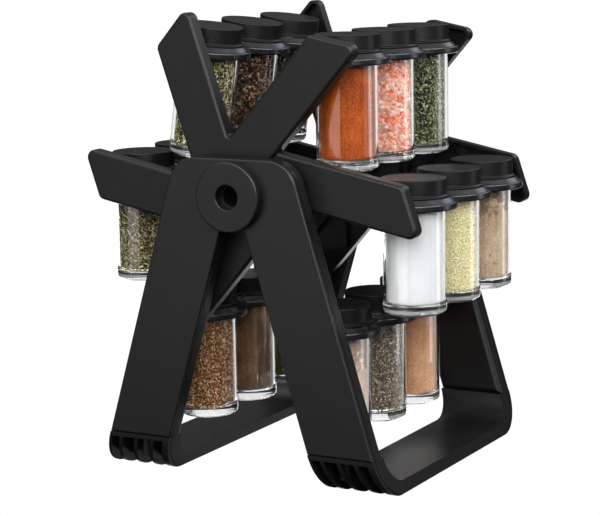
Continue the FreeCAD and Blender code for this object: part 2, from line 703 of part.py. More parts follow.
os.makedirs("parts", exist_ok=True)
build_stand()
build_wheel()
build_trays()
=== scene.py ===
import json
import math

import bmesh
import bpy
import numpy as np
from mathutils import Matrix, Vector


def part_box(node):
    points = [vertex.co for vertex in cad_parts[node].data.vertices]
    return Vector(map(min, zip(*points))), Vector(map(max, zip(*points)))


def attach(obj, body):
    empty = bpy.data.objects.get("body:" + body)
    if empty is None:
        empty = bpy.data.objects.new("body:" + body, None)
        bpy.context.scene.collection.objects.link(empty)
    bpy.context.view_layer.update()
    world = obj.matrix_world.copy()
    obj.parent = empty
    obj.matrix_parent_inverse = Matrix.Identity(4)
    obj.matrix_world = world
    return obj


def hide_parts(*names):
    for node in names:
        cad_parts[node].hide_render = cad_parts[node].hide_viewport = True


# Spice carousel: jars, lids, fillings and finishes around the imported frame. Metres.
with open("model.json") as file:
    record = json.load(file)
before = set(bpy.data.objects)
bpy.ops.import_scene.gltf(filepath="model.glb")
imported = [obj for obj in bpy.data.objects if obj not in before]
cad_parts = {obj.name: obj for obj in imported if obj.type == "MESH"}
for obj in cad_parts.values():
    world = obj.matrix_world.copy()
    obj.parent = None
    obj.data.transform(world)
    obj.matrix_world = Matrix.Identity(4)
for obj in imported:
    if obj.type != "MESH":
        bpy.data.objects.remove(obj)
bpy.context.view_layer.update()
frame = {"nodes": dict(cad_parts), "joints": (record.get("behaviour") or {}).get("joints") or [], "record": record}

MM = 0.001
NODES = frame["nodes"]
JOINTS = {j["name"]: j for j in frame["joints"]}
SLOT_OF_NODE = {entry["node"]: entry["material_slot"] for entry in frame["record"]["subparts"]}
TRAYS = ("right", "top_right", "top_left", "left", "lower_left", "lower_right")
PLACES = ("front", "middle", "rear")
SINGLE_TRAY = "top_right"          # its jars and lids move on their own
TILTED_TRAY = "top_left"           # hangs a little off level
TILT = math.radians(8.0)

# jar and lid sizes; heights are measured from the tray's pivot
JAR_R = 22.5 * MM
JAR_BOTTOM = -80.1 * MM
JAR_WALL = 2.1 * MM
JAR_BASE = 6.5 * MM
NECK_R = 20.0 * MM
NECK_TOP = 13.6 * MM
NECK_WALL = 2.2 * MM
SHOULDER = 0.6 * MM
LID_R = 23.2 * MM
LID_BOTTOM = 3.2 * MM
LID_TOP = 16.4 * MM
LID_RIM_R = 24.6 * MM
LID_BORE_R = 20.5 * MM
LID_CEILING = 14.3 * MM
RIDGE = 0.3 * MM                   # ridges of the screw neck
HEEL_TEETH = 48
TOOTH_DEPTH = 0.014                # share of the radius
TOOTH_R = 17.0 * MM                # the teeth are outside this radius
TOOTH_H = 2.2 * MM
LID_BANDS = 5
BAND_PITCH = 2.0 * MM
BAND_DEPTH = 0.035 * MM
FILL_R = JAR_R - JAR_WALL - 0.25 * MM
FILL_BOTTOM = JAR_BOTTOM + JAR_BASE + 0.5 * MM
FILL_TOP = -6.5 * MM
RAGGED_H = 12.0 * MM               # half the height over which a darker top fades in
GLASS_SEGMENTS = 192
LID_SEGMENTS = 128
POWDER_SEGMENTS = 96
CORE_SEGMENTS = 64
ROUND = 2.0 * math.pi


def shade(red, green, blue):
    """A screen colour from 0 to 255 as the linear colour that shaders use."""
    return tuple(float(((v / 255.0 + 0.055) / 1.055) ** 2.4) for v in (red, green, blue))


# ---------------------------------------------------------------- materials

class Paint:
    """One node material with a Principled shader and short helpers for its nodes."""

    def __init__(self, name, color, roughness=0.5, **sockets):
        self.material = bpy.data.materials.new(name)
        self.material.use_nodes = True
        self.nodes = self.material.node_tree.nodes
        self.links = self.material.node_tree.links
        self.shader = self.nodes["Principled BSDF"]
        self.shader.inputs["Base Color"].default_value = (*color, 1.0)
        self.shader.inputs["Roughness"].default_value = roughness
        for socket, value in sockets.items():
            self.shader.inputs[socket.replace("_", " ")].default_value = value

    def add(self, kind, **values):
        node = self.nodes.new(kind)
        for key, value in values.items():
            setattr(node, key, value)
        return node

    def place(self, stretch=(1.0, 1.0, 1.0)):
        """Object coordinates in metres, stretched along each axis."""
        coords = self.add("ShaderNodeTexCoord")
        mapping = self.add("ShaderNodeMapping")
        mapping.inputs["Scale"].default_value = stretch
        self.links.new(coords.outputs["Object"], mapping.inputs["Vector"])
        return mapping.outputs["Vector"]

    def noise(self, scale, detail=3.0, roughness=0.5, stretch=(1.0, 1.0, 1.0)):
        node = self.add("ShaderNodeTexNoise")
        node.inputs["Scale"].default_value = scale
        node.inputs["Detail"].default_value = detail
        node.inputs["Roughness"].default_value = roughness
        self.links.new(self.place(stretch), node.inputs["Vector"])
        return node.outputs["Fac"]

    def ramp(self, factor, stops):
        node = self.add("ShaderNodeValToRGB")
        elements = node.color_ramp.elements
        while len(elements) < len(stops):
            elements.new(0.5)
        for element, (position, color) in zip(elements, stops):
            element.position = position
            element.color = (*color, 1.0)
        self.links.new(factor, node.inputs["Fac"])
        return node.outputs["Color"]

    def range(self, factor, low, high, source=(0.3, 0.7)):
        node = self.add("ShaderNodeMapRange")
        node.inputs["From Min"].default_value = source[0]
        node.inputs["From Max"].default_value = source[1]
        node.inputs["To Min"].default_value = low
        node.inputs["To Max"].default_value = high
        self.links.new(factor, node.inputs["Value"])
        return node.outputs["Result"]

    def mix(self, factor, first, second, blend="MIX"):
        node = self.add("ShaderNodeMix", data_type="RGBA", blend_type=blend)
        for socket, value in ((0, factor), (6, first), (7, second)):
            if isinstance(value, (int, float)):
                node.inputs[socket].default_value = value
            elif isinstance(value, tuple):
                node.inputs[socket].default_value = (*value, 1.0)
            else:
                self.links.new(value, node.inputs[socket])
        return node.outputs[2]

    def height(self, low, high):
        """0 at the object's height low, 1 at high."""
        split = self.add("ShaderNodeSeparateXYZ")
        self.links.new(self.place(), split.inputs["Vector"])
        return self.range(split.outputs["Z"], 0.0, 1.0, (low, high))

    def tint(self):
        """The colour stored on each grain."""
        return self.add("ShaderNodeAttribute", attribute_name="tint").outputs["Color"]

    def color(self, output):
        self.links.new(output, self.shader.inputs["Base Color"])

    def rough(self, output):
        self.links.new(output, self.shader.inputs["Roughness"])

    def bump(self, height, distance, strength=1.0):
        """Adds a bump on top of those already there."""
        node = self.add("ShaderNodeBump")
        node.inputs["Distance"].default_value = distance
        node.inputs["Strength"].default_value = strength
        self.links.new(height, node.inputs["Height"])
        normal = self.shader.inputs["Normal"]
        if normal.links:
            self.links.new(normal.links[0].from_socket, node.inputs["Normal"])
        self.links.new(node.outputs["Normal"], normal)


def frame_plastic(name, sheen):
    """Black moulded plastic: a fine even grain and a low sheen."""
    paint = Paint(name, (0.0035, 0.0035, 0.0037), 0.38, Specular_IOR_Level=sheen)
    tone = paint.noise(35.0, 4.0)
    paint.color(paint.ramp(tone, [(0.3, (0.0032, 0.0032, 0.0034)), (0.7, (0.0038, 0.0038, 0.004))]))
    paint.rough(paint.range(paint.noise(60.0, 3.0), 0.36, 0.4))
    paint.bump(paint.noise(2600.0, 2.0), 0.00003, 0.35)
    return paint.material


def tray_plastic():
    """Smoother, slightly cool black plastic of the trays."""
    paint = Paint("tray_plastic", (0.004, 0.004, 0.006), 0.28, Specular_IOR_Level=0.5)
    tone = paint.noise(50.0, 4.0)
    paint.color(paint.ramp(tone, [(0.3, (0.0035, 0.0035, 0.005)), (0.7, (0.005, 0.005, 0.007))]))
    paint.rough(paint.range(paint.noise(90.0, 3.0), 0.25, 0.31))
    paint.bump(paint.noise(1800.0, 2.0), 0.00002, 0.3)
    return paint.material


def lid_plastic():
    """Matt black lid with a fine even grain."""
    paint = Paint("lid_plastic", (0.0035, 0.0035, 0.0038), 0.38, Specular_IOR_Level=0.16)
    tone = paint.noise(120.0, 4.0)
    paint.color(paint.ramp(tone, [(0.3, (0.003, 0.003, 0.0033)), (0.75, (0.004, 0.004, 0.0043))]))
    paint.rough(paint.range(tone, 0.34, 0.42))
    paint.bump(paint.noise(2400.0, 2.0), 0.00003, 0.4)
    return paint.material


def clear_glass(name, clearness):
    """Clear pressed glass with a faintly uneven surface; a lower clearness gives it a milky body."""
    paint = Paint(name, (0.994, 1.0, 0.997), 0.0, Transmission_Weight=clearness, IOR=1.5)
    paint.bump(paint.noise(60.0, 2.0), 0.0002, 0.12)
    return paint.material


def steel():
    """Zinc-plated screws and pins."""
    paint = Paint("screw_steel", (0.5, 0.5, 0.51), 0.32, Metallic=1.0)
    wear = paint.noise(900.0, 4.0)
    paint.color(paint.ramp(wear, [(0.3, (0.38, 0.38, 0.39)), (0.7, (0.6, 0.6, 0.6))]))
    paint.rough(paint.range(wear, 0.26, 0.42))
    paint.bump(wear, 0.00002, 0.4)
    return paint.material


def nylon():
    paint = Paint("bush_nylon", (0.6, 0.58, 0.52), 0.45, Subsurface_Weight=0.1)
    tone = paint.noise(300.0, 3.0)
    paint.color(paint.ramp(tone, [(0.3, (0.55, 0.53, 0.47)), (0.7, (0.66, 0.64, 0.58))]))
    paint.bump(tone, 0.00003, 0.4)
    return paint.material


def rubber():
    paint = Paint("pad_rubber", (0.03, 0.03, 0.03), 0.8)
    tone = paint.noise(800.0, 3.0)
    paint.color(paint.ramp(tone, [(0.3, (0.022, 0.022, 0.022)), (0.7, (0.042, 0.042, 0.042))]))
    paint.bump(tone, 0.0001, 0.6)
    return paint.material


def grain_paint(name, roughness, gloss, soft, mottling):
    """Loose grains: each has its own colour, mottled a little."""
    paint = Paint(name, (0.5, 0.5, 0.5), roughness, Specular_IOR_Level=gloss, Subsurface_Weight=soft)
    paint.shader.inputs["Subsurface Scale"].default_value = 0.002
    paint.shader.inputs["Subsurface Radius"].default_value = (1.0, 0.65, 0.5)
    mottle = paint.noise(1500.0, 3.0)
    dim = paint.ramp(mottle, [(0.3, (1.0 - mottling,) * 3), (0.7, (1.0, 1.0, 1.0))])
    paint.color(paint.mix(1.0, paint.tint(), dim, "MULTIPLY"))
    paint.bump(mottle, 0.0001, 2.0 * mottling)
    return paint.material


def powder_paint(name, dark, middle, light, top=None, top_share=0.25):
    """Fine powder pressed against the glass: soft clouds, fine specks and faint settling streaks."""
    paint = Paint(name, middle, 0.85, Specular_IOR_Level=0.2)
    clouds = paint.noise(60.0, 5.0, 0.6, (1.0, 1.0, 0.45))
    specks = paint.noise(1000.0, 4.0, 0.7)
    streaks = paint.noise(260.0, 4.0, 0.6, (1.0, 1.0, 0.12))
    body = paint.ramp(clouds, [(0.38, dark), (0.5, middle), (0.62, light)])
    body = paint.mix(0.3, body, paint.ramp(streaks, [(0.4, dark), (0.6, light)]))
    body = paint.mix(0.5, body, paint.ramp(specks, [(0.4, dark), (0.5, middle), (0.6, light)]))
    if top:
        high = paint.mix(0.4, top, paint.ramp(specks, [(0.36, dark), (0.66, middle)]))
        edge = FILL_TOP - (FILL_TOP - FILL_BOTTOM) * top_share
        ragged = paint.add("ShaderNodeMath", operation="ADD")
        paint.links.new(paint.height(edge - RAGGED_H, edge + RAGGED_H), ragged.inputs[0])
        paint.links.new(paint.range(paint.noise(170.0, 4.0, 0.6), -0.6, 0.6), ragged.inputs[1])
        body = paint.mix(paint.range(ragged.outputs["Value"], 0.0, 1.0, (0.35, 0.65)), body, high)
    paint.color(body)
    paint.bump(specks, 0.00025, 0.6)
    paint.bump(clouds, 0.0006, 0.3)
    return paint.material


MATERIAL_OF_SLOT = {"black_plastic": frame_plastic("frame_plastic", 0.27), "tray_plastic": tray_plastic(),
                    "lid_plastic": lid_plastic(), "shaft_plastic": frame_plastic("shaft_plastic", 0.27),
                    "clear_glass": clear_glass("clear_glass", 1.0), "screw_steel": steel(),
                    "bush_plastic": nylon(), "pad_rubber": rubber()}
GLASS_BASE = clear_glass("clear_glass_base", 0.82)
ARM_PLASTIC = frame_plastic("arm_plastic", 0.21)


def finish_cad_nodes():
    """Every CAD node that stays in view gets its detailed material."""
    for node, slot in SLOT_OF_NODE.items():
        material = ARM_PLASTIC if "_spider_" in node else MATERIAL_OF_SLOT.get(slot)
        if material is not None:
            for place in NODES[node].material_slots:
                place.material = material


# ---------------------------------------------------------------- turned shapes: glass and lids

def rounded_profile(points, steps=5):
    """Each point is (radius from the axis, height, corner radius). Corners become arcs, with a support point
    on either side that keeps the shading of the flats even."""
    out = []
    count = len(points)
    for i in range(count):
        here = np.array(points[i][:2])
        corner = points[i][2]
        if corner == 0 or i == 0 or i == count - 1:
            out.append(here)
            continue
        before = np.array(points[i - 1][:2]) - here
        after = np.array(points[i + 1][:2]) - here
        reach = min(np.linalg.norm(before), np.linalg.norm(after))
        before /= np.linalg.norm(before)
        after /= np.linalg.norm(after)
        half = math.acos(float(np.clip(before @ after, -1.0, 1.0))) / 2.0
        back = min(corner / math.tan(half), 0.44 * reach)
        radius = back * math.tan(half)
        centre = here + (before + after) / np.linalg.norm(before + after) * radius / math.sin(half)
        start = here + before * back - centre
        turn = math.atan2(*(here + after * back - centre)[::-1]) - math.atan2(*start[::-1])
        turn = (turn + math.pi) % ROUND - math.pi
        out.append(here + before * min(back * 1.25, 0.49 * reach))
        for k in range(steps + 1):
            a = math.atan2(start[1], start[0]) + turn * k / steps
            out.append(centre + radius * np.array((math.cos(a), math.sin(a))))
        out.append(here + after * min(back * 1.25, 0.49 * reach))
    return out


def turned(profile, segments, first_vertex=0):
    """Vertices and faces of a solid of revolution whose profile starts and ends on the axis."""
    angles = np.arange(segments) * ROUND / segments
    verts = [(0.0, 0.0, float(profile[0][1]))]
    for radius, height in profile[1:-1]:
        for a in angles:
            verts.append((radius * math.cos(a), radius * math.sin(a), float(height)))
    verts.append((0.0, 0.0, float(profile[-1][1])))
    faces = []
    rings = len(profile) - 2
    for j in range(segments):
        following = (j + 1) % segments
        faces.append((0, 1 + following, 1 + j))
        for i in range(rings - 1):
            low, high = 1 + i * segments, 1 + (i + 1) * segments
            faces.append((low + j, low + following, high + following, high + j))
        top = 1 + (rings - 1) * segments
        faces.append((top + j, top + following, len(verts) - 1))
    return verts, [tuple(first_vertex + v for v in face) for face in faces]


def glass_profile():
    """Thick base with a hollow underneath, straight wall, rounded shoulder, and a neck with two ridges."""
    inner = JAR_R - JAR_WALL
    neck_in = NECK_R - NECK_WALL
    b = JAR_BOTTOM
    points = [(0.0, b + 1.3 * MM, 0), (14.0 * MM, b + 1.1 * MM, 2.0 * MM), (17.2 * MM, b, 0.8 * MM),
              (19.0 * MM, b, 0.8 * MM), (JAR_R - 0.3 * MM, b + 2.0 * MM, 1.6 * MM),
              (JAR_R, b + 4.6 * MM, 2.5 * MM), (JAR_R, SHOULDER - 3.4 * MM, 1.6 * MM),
              (NECK_R, SHOULDER - 0.4 * MM, 0.7 * MM),
              (NECK_R, 4.0 * MM, 0.15 * MM), (NECK_R + RIDGE, 4.6 * MM, 0.2 * MM),
              (NECK_R, 5.2 * MM, 0.15 * MM), (NECK_R, 8.0 * MM, 0.15 * MM),
              (NECK_R + RIDGE, 8.6 * MM, 0.2 * MM), (NECK_R, 9.2 * MM, 0.15 * MM),
              (NECK_R, NECK_TOP, 0.9 * MM), (neck_in, NECK_TOP, 0.9 * MM),
              (neck_in, SHOULDER - 2.4 * MM, 1.2 * MM), (inner, SHOULDER - 6.0 * MM, 1.8 * MM),
              (inner, b + JAR_BASE + 0.4 * MM, 3.4 * MM), (0.0, b + JAR_BASE - 0.5 * MM, 0)]
    return rounded_profile(points)


def heel_teeth(verts):
    """Small pressed teeth round the heel of the glass."""
    out = []
    for x, y, z in verts:
        radius = math.hypot(x, y)
        if radius > TOOTH_R and z < JAR_BOTTOM + TOOTH_H:
            depth = TOOTH_DEPTH * (0.5 - 0.5 * math.cos(HEEL_TEETH * math.atan2(y, x)))
            x, y = x * (1.0 - depth), y * (1.0 - depth)
        out.append((x, y, z))
    return out


def lid_profile():
    """Recessed top with a raised border, fine bands round the side, and a thin flared rim."""
    points = [(0.0, LID_CEILING, 0), (LID_BORE_R, LID_CEILING, 0.6 * MM), (LID_BORE_R, LID_BOTTOM, 0.3 * MM),
              (LID_RIM_R, LID_BOTTOM, 0.3 * MM), (LID_RIM_R, LID_BOTTOM + 0.9 * MM, 0.35 * MM),
              (LID_R, LID_BOTTOM + 1.9 * MM, 0.5 * MM)]
    for k in range(LID_BANDS):
        z = LID_BOTTOM + 2.6 * MM + k * BAND_PITCH
        points.append((LID_R, z, 0.25 * MM))
        points.append((LID_R - BAND_DEPTH, z + 0.25 * BAND_PITCH, 0.15 * MM))
        points.append((LID_R, z + 0.5 * BAND_PITCH, 0.25 * MM))
    points += [(LID_R, LID_TOP, 1.0 * MM), (LID_R - 1.9 * MM, LID_TOP, 0.35 * MM),
               (LID_R - 2.5 * MM, LID_TOP - 0.35 * MM, 0.35 * MM), (0.0, LID_TOP - 0.3 * MM, 0)]
    return rounded_profile(points, 3)


def new_piece(name, verts, faces, material, smooth=True):
    mesh = bpy.data.meshes.new(name)
    mesh.from_pydata(verts, [], faces)
    mesh.materials.append(material)
    mesh.polygons.foreach_set("use_smooth", [smooth] * len(faces))
    piece = bpy.data.objects.new(name, mesh)
    bpy.context.scene.collection.objects.link(piece)
    return piece


# ---------------------------------------------------------------- loose grains

def ball_grain():
    """Small round body of twenty faces."""
    made = bmesh.new()
    bmesh.ops.create_icosphere(made, subdivisions=1, radius=0.5)
    verts = np.array([v.co[:] for v in made.verts])
    faces = [tuple(v.index for v in f.verts) for f in made.faces]
    made.free()
    return verts, faces


def spindle_grain(sides=5):
    """Slim seed or stalk along X: pointed ends, thickest in the middle, slightly bent."""
    verts = [(-0.5, 0.0, 0.0)]
    for x, radius in ((-0.3, 0.36), (0.0, 0.5), (0.3, 0.36)):
        for k in range(sides):
            a = ROUND * k / sides
            verts.append((x, radius * math.cos(a), radius * math.sin(a)))
    verts.append((0.5, 0.0, 0.0))
    faces = []
    for k in range(sides):
        following = (k + 1) % sides
        faces.append((0, 1 + following, 1 + k))
        for ring in range(2):
            low, high = 1 + ring * sides, 1 + (ring + 1) * sides
            faces.append((low + k, low + following, high + following, high + k))
        faces.append((1 + 2 * sides + k, 1 + 2 * sides + following, len(verts) - 1))
    verts = np.array(verts)
    verts[:, 2] += 0.35 * verts[:, 0] ** 2
    return verts, faces


def leaf_grain():
    """Thin curled flake with six corners."""
    outline = [(ROUND * k / 6.0, 0.5 if k % 3 else 0.62) for k in range(6)]
    flat = [(r * math.cos(a), r * math.sin(a)) for a, r in outline]
    verts = [(x, y, 0.5) for x, y in flat] + [(x, y, -0.5) for x, y in flat]
    faces = [(0, 1, 2, 3, 4, 5), (11, 10, 9, 8, 7, 6)]
    faces += [(k, 6 + k, 6 + (k + 1) % 6, (k + 1) % 6) for k in range(6)]
    return np.array(verts), faces


SHAPES = {"ball": ball_grain(), "spindle": spindle_grain(), "leaf": leaf_grain()}


def grain_places(rng, count, bottom, top):
    """Evenly jittered places on the side and the two ends of the filling, and the way each one faces."""
    side_area = ROUND * FILL_R * (top - bottom)
    end_area = math.pi * FILL_R ** 2
    on_end = int(count * end_area / (side_area + 2.0 * end_area) * 0.6)
    on_side = count - 2 * on_end
    columns = max(6, int(math.sqrt(on_side * ROUND * FILL_R / (top - bottom))))
    index = np.arange(on_side)
    rows = on_side / columns
    angle = (index % columns + rng.random(on_side)) * ROUND / columns
    height = bottom + (top - bottom) * np.clip((index // columns + rng.random(on_side)) / rows, 0.0, 1.0)
    centres = np.stack([FILL_R * np.cos(angle), FILL_R * np.sin(angle), height], axis=1)
    facing = np.stack([np.cos(angle), np.sin(angle), np.zeros(on_side)], axis=1)
    for level, direction in ((bottom, -1.0), (top, 1.0)):
        radius = FILL_R * 0.95 * np.sqrt(rng.random(on_end))
        angle = ROUND * rng.random(on_end)
        spot = np.stack([radius * np.cos(angle), radius * np.sin(angle), np.full(on_end, level)], axis=1)
        centres = np.concatenate([centres, spot])
        facing = np.concatenate([facing, np.tile((0.0, 0.0, direction), (on_end, 1))])
    return centres, facing


def turn_about(axis_index, angle):
    """Rotation matrices about one axis, one for each angle."""
    first, second = [(1, 2), (2, 0), (0, 1)][axis_index]
    out = np.zeros((len(angle), 3, 3))
    out[:, axis_index, axis_index] = 1.0
    out[:, first, first] = out[:, second, second] = np.cos(angle)
    out[:, second, first] = np.sin(angle)
    out[:, first, second] = -np.sin(angle)
    return out


def grain_cloud(rng, shape, size, count, spread, disorder, bottom, top, rough):
    """Many grains packed against the glass: an array of vertices for each grain, and one grain's faces."""
    base, faces = SHAPES[shape]
    centres, facing = grain_places(rng, count, bottom, top)
    total = len(centres)
    guide = np.where(np.abs(facing[:, 2:3]) > 0.9, (1.0, 0.0, 0.0), (0.0, 0.0, 1.0))
    tangent = np.cross(guide, facing)
    tangent /= np.linalg.norm(tangent, axis=1, keepdims=True)
    axes = np.stack([tangent, np.cross(facing, tangent), facing], axis=2)
    spin = turn_about(2, ROUND * rng.random(total))
    tilt = turn_about(0, disorder * rng.standard_normal(total))
    tilt = tilt @ turn_about(1, disorder * rng.standard_normal(total))
    scale = np.array(size) * (1.0 + spread * rng.uniform(-1.0, 1.0, (total, 1)))
    scale = scale * (1.0 + 0.5 * spread * rng.uniform(-1.0, 1.0, (total, 3)))
    local = base[None] * scale[:, None, :]
    local = local * (1.0 + rough * rng.uniform(-1.0, 1.0, local.shape[:2])[:, :, None])
    points = np.einsum("nij,nkj->nki", axes @ spin @ tilt, local) + centres[:, None, :]
    depth = min(size) * 0.5 * rng.random(total)
    for _ in range(3):
        over = np.hypot(points[:, :, 0], points[:, :, 1]).max(axis=1) - (FILL_R - depth)
        side = np.abs(facing[:, 2]) < 0.5
        move = np.where(side, over, np.maximum(over, 0.0))
        outward = centres * (1.0, 1.0, 0.0)
        outward /= np.maximum(np.linalg.norm(outward, axis=1, keepdims=True), 1e-9)
        points -= (outward * move[:, None])[:, None, :]
    points[:, :, 2] = np.clip(points[:, :, 2], bottom, top + 1.5 * MM)
    return points, faces


def grain_filling(name, recipe, material, seed):
    """A core with a layer of separate grains all over it; the core's colour is the filling's own colour darkened,
    painted shade seen in the gaps between the grains.
    """
    rng = np.random.default_rng(seed)
    bottom, top = FILL_BOTTOM, FILL_TOP
    core_r = FILL_R - recipe["core_depth"] * MM
    shaded_core = rounded_profile([(0.0, bottom + 0.6 * MM, 0), (core_r, bottom + 0.6 * MM, 3.0 * MM),
                            (core_r, top - 0.6 * MM, 1.5 * MM), (0.0, top - 0.4 * MM, 0)])
    verts, faces = turned(shaded_core, CORE_SEGMENTS)
    # the core's colour is partly the filling's own colour and partly painted shade that darkens the gaps between
    # the grains
    tints = [np.tile((*shade(*recipe["shaded_core"]), 1.0), (len(verts), 1))]
    all_verts = [np.array(verts)]
    offset = len(verts)
    for shape, size, count, share_colors in recipe["grains"]:
        spread, disorder = recipe.get("spread", 0.35), recipe.get("disorder", 0.4)
        points, grain_faces = grain_cloud(rng, shape, [s * MM for s in size], count, spread, disorder,
                                          bottom, top, recipe.get("rough", 0.12))
        total, per_grain = points.shape[:2]
        all_verts.append(points.reshape(-1, 3))
        colors = np.array([shade(*c) for c in share_colors])
        picked = colors[rng.integers(0, len(colors), total)] * rng.uniform(0.8, 1.2, (total, 1))
        tint = np.concatenate([np.clip(picked, 0.0, 1.0), np.ones((total, 1))], axis=1)
        tints.append(np.repeat(tint, per_grain, axis=0))
        for i in range(total):
            faces.extend(tuple(offset + i * per_grain + v for v in face) for face in grain_faces)
        offset += total * per_grain
    piece = new_piece(name, np.concatenate(all_verts).tolist(), faces, material, recipe.get("smooth", False))
    layer = piece.data.attributes.new("tint", "FLOAT_COLOR", "POINT")
    layer.data.foreach_set("color", np.concatenate(tints).astype(np.float32).ravel())
    return piece


def powder_filling(name, material, seed):
    """Powder pressed against the glass, with a slightly heaped and uneven top."""
    rng = np.random.default_rng(seed)
    top, bottom, radius = FILL_TOP, FILL_BOTTOM, FILL_R
    low = [(0.0, bottom), (radius * 0.5, bottom)]
    low += [tuple(p) for p in rounded_profile([(radius * 0.5, bottom, 0), (radius, bottom, 3.2 * MM),
                                               (radius, bottom + 8 * MM, 0)])[1:]]
    side = [(radius, z) for z in np.linspace(bottom + 10 * MM, top - 1.0 * MM, 22)]
    crown = [(radius * s, top - 0.4 * MM + 0.9 * MM * (1.0 - s)) for s in (0.97, 0.85, 0.65, 0.4, 0.2)]
    profile = low + side + crown + [(0.0, top + 0.5 * MM)]
    verts, faces = turned(profile, POWDER_SEGMENTS)
    verts = np.array(verts)
    angle = np.arctan2(verts[:, 1], verts[:, 0])
    ripple = np.zeros(len(verts))
    for _ in range(6):
        turns, rise, phase = rng.integers(2, 9), rng.uniform(80.0, 420.0), rng.uniform(0.0, ROUND)
        ripple += np.sin(turns * angle + rise * verts[:, 2] + phase) / 6.0
    verts[:, :2] *= (1.0 - 0.006 * (1.0 + ripple))[:, None]
    verts[:, 2] += np.where(verts[:, 2] > top - 1.5 * MM, 0.5 * MM * ripple, 0.0)
    return new_piece(name, verts.tolist(), faces, material)


# colours of the loose grains, from 0 to 255
HERB_DRY = [(176, 164, 108), (222, 212, 160), (112, 104, 58), (84, 76, 42), (240, 232, 196), (142, 132, 78)]
HERB_RED = [(84, 50, 36), (128, 94, 66), (52, 44, 30), (94, 88, 50), (178, 146, 118), (140, 64, 44),
            (62, 34, 26)]
HERB_GREY = [(74, 64, 50), (120, 110, 88), (48, 42, 32), (96, 94, 62), (156, 146, 124)]
THYME = [(158, 142, 92), (200, 184, 136), (112, 102, 60), (228, 214, 176), (84, 74, 44), (138, 124, 74)]
PARSLEY = [(110, 122, 74), (146, 156, 108), (186, 194, 150), (66, 74, 42), (128, 136, 88), (48, 54, 30)]
CUMIN = [(204, 142, 88), (236, 182, 124), (156, 104, 62), (252, 212, 160), (112, 72, 44), (184, 124, 76)]
PEPPER = [(186, 170, 150), (146, 130, 114), (206, 192, 174), (78, 66, 54), (232, 220, 202), (164, 146, 104),
          (130, 116, 102)]
SESAME = [(255, 250, 218), (255, 243, 196), (248, 228, 168), (255, 248, 210), (254, 240, 190)]
ROCK_SALT = [(255, 178, 154), (255, 198, 182), (250, 152, 122), (255, 212, 202), (242, 134, 98),
             (255, 192, 174)]
SESAME_DARK = [(132, 112, 60), (160, 138, 84)]

# the core's colour (the filling's own colour darkened as painted shade for the gaps between grains) and its depth
# below the glass in mm; then layers of (shape, size in mm, count, colours)
GRAIN_RECIPES = {
    "dry_herb": {"shaded_core": (52, 45, 26), "core_depth": 1.6, "grains": [
        ("leaf", (2.2, 1.1, 0.22), 1700, HERB_DRY), ("spindle", (4.0, 0.55, 0.5), 2000, HERB_DRY)]},
    "red_herb": {"shaded_core": (30, 22, 16), "core_depth": 1.6, "grains": [
        ("leaf", (2.2, 1.7, 0.3), 1900, HERB_RED), ("ball", (1.1, 1.0, 0.9), 1100, HERB_RED)]},
    "grey_herb": {"shaded_core": (26, 22, 17), "core_depth": 1.6, "grains": [
        ("leaf", (2.0, 1.3, 0.25), 1700, HERB_GREY), ("ball", (1.0, 0.9, 0.8), 1200, HERB_GREY)]},
    "thyme": {"shaded_core": (58, 51, 30), "core_depth": 1.6, "grains": [
        ("spindle", (4.2, 0.65, 0.55), 3000, THYME), ("leaf", (2.2, 1.0, 0.22), 1200, THYME)]},
    "parsley": {"shaded_core": (24, 27, 14), "core_depth": 1.5, "grains": [
        ("leaf", (1.7, 1.1, 0.2), 4300, PARSLEY), ("ball", (0.8, 0.7, 0.6), 1200, PARSLEY)]},
    "cumin": {"shaded_core": (110, 74, 46), "core_depth": 1.5, "smooth": True, "grains": [
        ("spindle", (1.9, 0.95, 0.85), 6400, CUMIN)]},
    "pepper": {"shaded_core": (108, 96, 84), "core_depth": 1.2, "grains": [
        ("ball", (1.1, 0.9, 0.8), 4200, PEPPER), ("leaf", (1.9, 1.0, 0.25), 1500, PEPPER)]},
    "sesame": {"shaded_core": (232, 214, 156), "core_depth": 1.0, "smooth": True, "spread": 0.18,
               "rough": 0.04, "grains": [
        ("ball", (1.7, 1.4, 1.2), 5200, SESAME), ("ball", (1.1, 0.9, 0.8), 520, SESAME_DARK)]},
    "rock_salt": {"shaded_core": (246, 158, 124), "core_depth": 3.0, "spread": 0.45, "disorder": 1.2,
                  "rough": 0.2, "grains": [
        ("ball", (6.6, 5.4, 4.4), 620, ROCK_SALT), ("ball", (4.0, 3.3, 2.7), 1100, ROCK_SALT)]}}

# roughness, gloss, softness and mottling, where a filling isn't dull and dry
GRAIN_FINISH = {"rock_salt": (0.35, 0.5, 0.3, 0.05), "sesame": (0.5, 0.4, 0.15, 0.08)}
DRY_FINISH = (0.75, 0.4, 0.0, 0.2)
GRAIN_PAINTS = {kind: grain_paint("loose_" + kind, *GRAIN_FINISH.get(kind, DRY_FINISH))
                for kind in GRAIN_RECIPES}

POWDER_PAINTS = {
    "paprika": powder_paint("paprika", shade(104, 38, 6), shade(150, 62, 12), shade(198, 104, 34)),
    "white_salt": powder_paint("white_salt", shade(214, 214, 216), shade(221, 221, 223),
                               shade(228, 228, 230)),
    "ginger": powder_paint("ginger", shade(142, 114, 90), shade(184, 156, 130), shade(220, 198, 176),
                           shade(84, 72, 58), 0.2),
    "clove": powder_paint("clove", shade(92, 62, 38), shade(128, 92, 62), shade(170, 134, 102)),
    "olive_mix": powder_paint("olive_mix", shade(92, 84, 34), shade(134, 120, 56), shade(170, 152, 84)),
    "garlic": powder_paint("garlic", shade(204, 168, 144), shade(234, 204, 184), shade(250, 232, 220),
                           shade(122, 108, 98), 0.3),
    "cinnamon": powder_paint("cinnamon", shade(182, 122, 82), shade(214, 156, 112), shade(240, 200, 162))}

